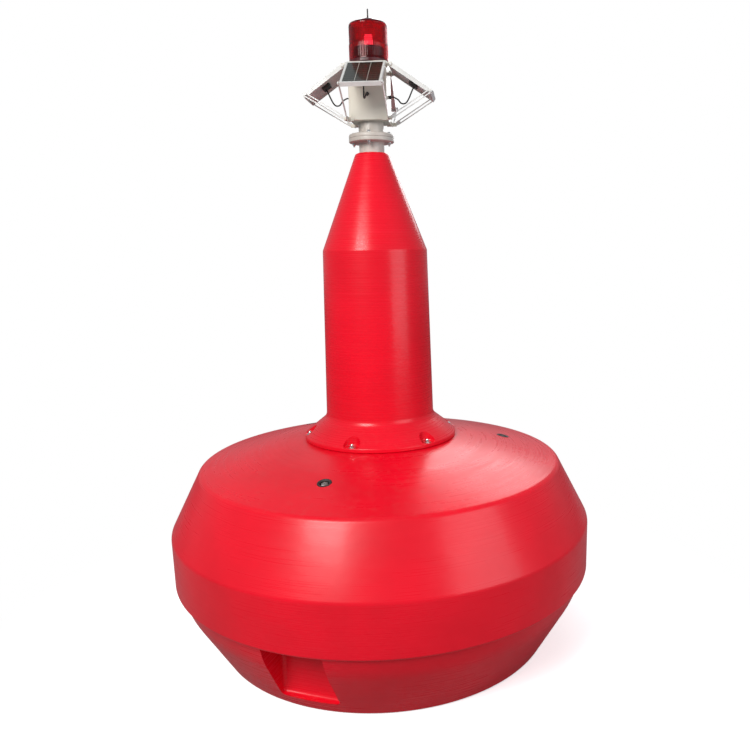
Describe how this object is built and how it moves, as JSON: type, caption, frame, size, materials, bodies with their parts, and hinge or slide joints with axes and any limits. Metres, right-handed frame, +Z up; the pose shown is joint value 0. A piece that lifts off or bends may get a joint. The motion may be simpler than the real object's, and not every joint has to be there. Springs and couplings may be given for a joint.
{
  "type": "navigation buoy",
  "caption": "Red moulded navigation buoy: belted float, tapered tower, and a red lantern on a box with tilting solar panels on slotted struts.",
  "frame": {"origin": "centre of the float's flat base, on the surface it stands on", "axes": "+Z up along the tower; the lantern box's faces look along X and Y, its first panel towards -Y"},
  "size_m": [1.5, 1.5, 2.1639],
  "materials": {
    "float_red": "glossy moulded polyethylene",
    "galvanised_steel": "dull galvanised",
    "black_plastic": "satin",
    "cable_black": "matt sheath",
    "ivory_coat": "ivory powder coat",
    "white_aluminium": "white anodised, satin",
    "solar_glass": "clear glass over dark cells",
    "dark_red_plastic": "satin",
    "red_lens": "clear red, ribbed",
    "lamp_cluster": "clear and white, glossy"
  },
  "bodies": {
    "root": {"float_lower": "float_red", "float_upper": "float_red", "tower": "float_red", "deck_socket_1": "black_plastic", "socket_plug_1": "galvanised_steel", "deck_socket_2": "black_plastic", "socket_plug_2": "galvanised_steel", "deck_socket_3": "black_plastic", "socket_plug_3": "galvanised_steel", "mooring_eye": "galvanised_steel", "post": "ivory_coat", "lantern_neck": "ivory_coat", "battery_box": "ivory_coat", "lens_base": "dark_red_plastic", "lamp_housing": "dark_red_plastic", "lens": "red_lens", "light_source": "lamp_cluster", "bird_spike": "black_plastic", "cable_gland_front": "black_plastic", "panel_cable_front": "cable_black", "cable_gland_right": "black_plastic", "panel_cable_right": "cable_black", "cable_gland_back": "black_plastic", "panel_cable_back": "cable_black", "cable_gland_left": "black_plastic", "panel_cable_left": "cable_black"},
    "panel_front": {"panel_frame_front": "white_aluminium", "panel_glass_front": "solar_glass", "junction_box_front": "black_plastic"},
    "struts_front": {"strut_front_a": "white_aluminium", "strut_front_b": "white_aluminium"},
    "panel_right": {"panel_frame_right": "white_aluminium", "panel_glass_right": "solar_glass", "junction_box_right": "black_plastic"},
    "struts_right": {"strut_right_a": "white_aluminium", "strut_right_b": "white_aluminium"},
    "panel_back": {"panel_frame_back": "white_aluminium", "panel_glass_back": "solar_glass", "junction_box_back": "black_plastic"},
    "struts_back": {"strut_back_a": "white_aluminium", "strut_back_b": "white_aluminium"},
    "panel_left": {"panel_frame_left": "white_aluminium", "panel_glass_left": "solar_glass", "junction_box_left": "black_plastic"},
    "struts_left": {"strut_left_a": "white_aluminium", "strut_left_b": "white_aluminium"}
  },
  "joints": [
    {"name": "panel_tilt_front", "type": "hinge", "parent": "root", "child": "panel_front", "pos_m": [0, -0.078, 1.977], "axis": [1, 0, 0], "range_deg": [0, 24], "deforming": ["panel_cable_front"]},
    {"name": "strut_swing_front", "type": "hinge", "parent": "root", "child": "struts_front", "pos_m": [0, -0.0748, 1.812], "axis": [1, 0, 0], "range_deg": [0, 9.5]},
    {"name": "panel_tilt_right", "type": "hinge", "parent": "root", "child": "panel_right", "pos_m": [0.078, 0, 1.977], "axis": [0, 1, 0], "range_deg": [0, 24], "deforming": ["panel_cable_right"]},
    {"name": "strut_swing_right", "type": "hinge", "parent": "root", "child": "struts_right", "pos_m": [0.0748, 0, 1.812], "axis": [0, 1, 0], "range_deg": [0, 9.5]},
    {"name": "panel_tilt_back", "type": "hinge", "parent": "root", "child": "panel_back", "pos_m": [0, 0.078, 1.977], "axis": [-1, 0, 0], "range_deg": [0, 24], "deforming": ["panel_cable_back"]},
    {"name": "strut_swing_back", "type": "hinge", "parent": "root", "child": "struts_back", "pos_m": [0, 0.0748, 1.812], "axis": [-1, 0, 0], "range_deg": [0, 9.5]},
    {"name": "panel_tilt_left", "type": "hinge", "parent": "root", "child": "panel_left", "pos_m": [-0.078, 0, 1.977], "axis": [0, -1, 0], "range_deg": [0, 24], "deforming": ["panel_cable_left"]},
    {"name": "strut_swing_left", "type": "hinge", "parent": "root", "child": "struts_left", "pos_m": [-0.0748, 0, 1.812], "axis": [0, -1, 0], "range_deg": [0, 9.5]}
  ],
  "couplings": [
    {"joint": "strut_swing_front", "follows": "panel_tilt_front", "ratio": 0.388},
    {"joint": "strut_swing_right", "follows": "panel_tilt_right", "ratio": 0.388},
    {"joint": "strut_swing_back", "follows": "panel_tilt_back", "ratio": 0.388},
    {"joint": "strut_swing_left", "follows": "panel_tilt_left", "ratio": 0.388}
  ]
}
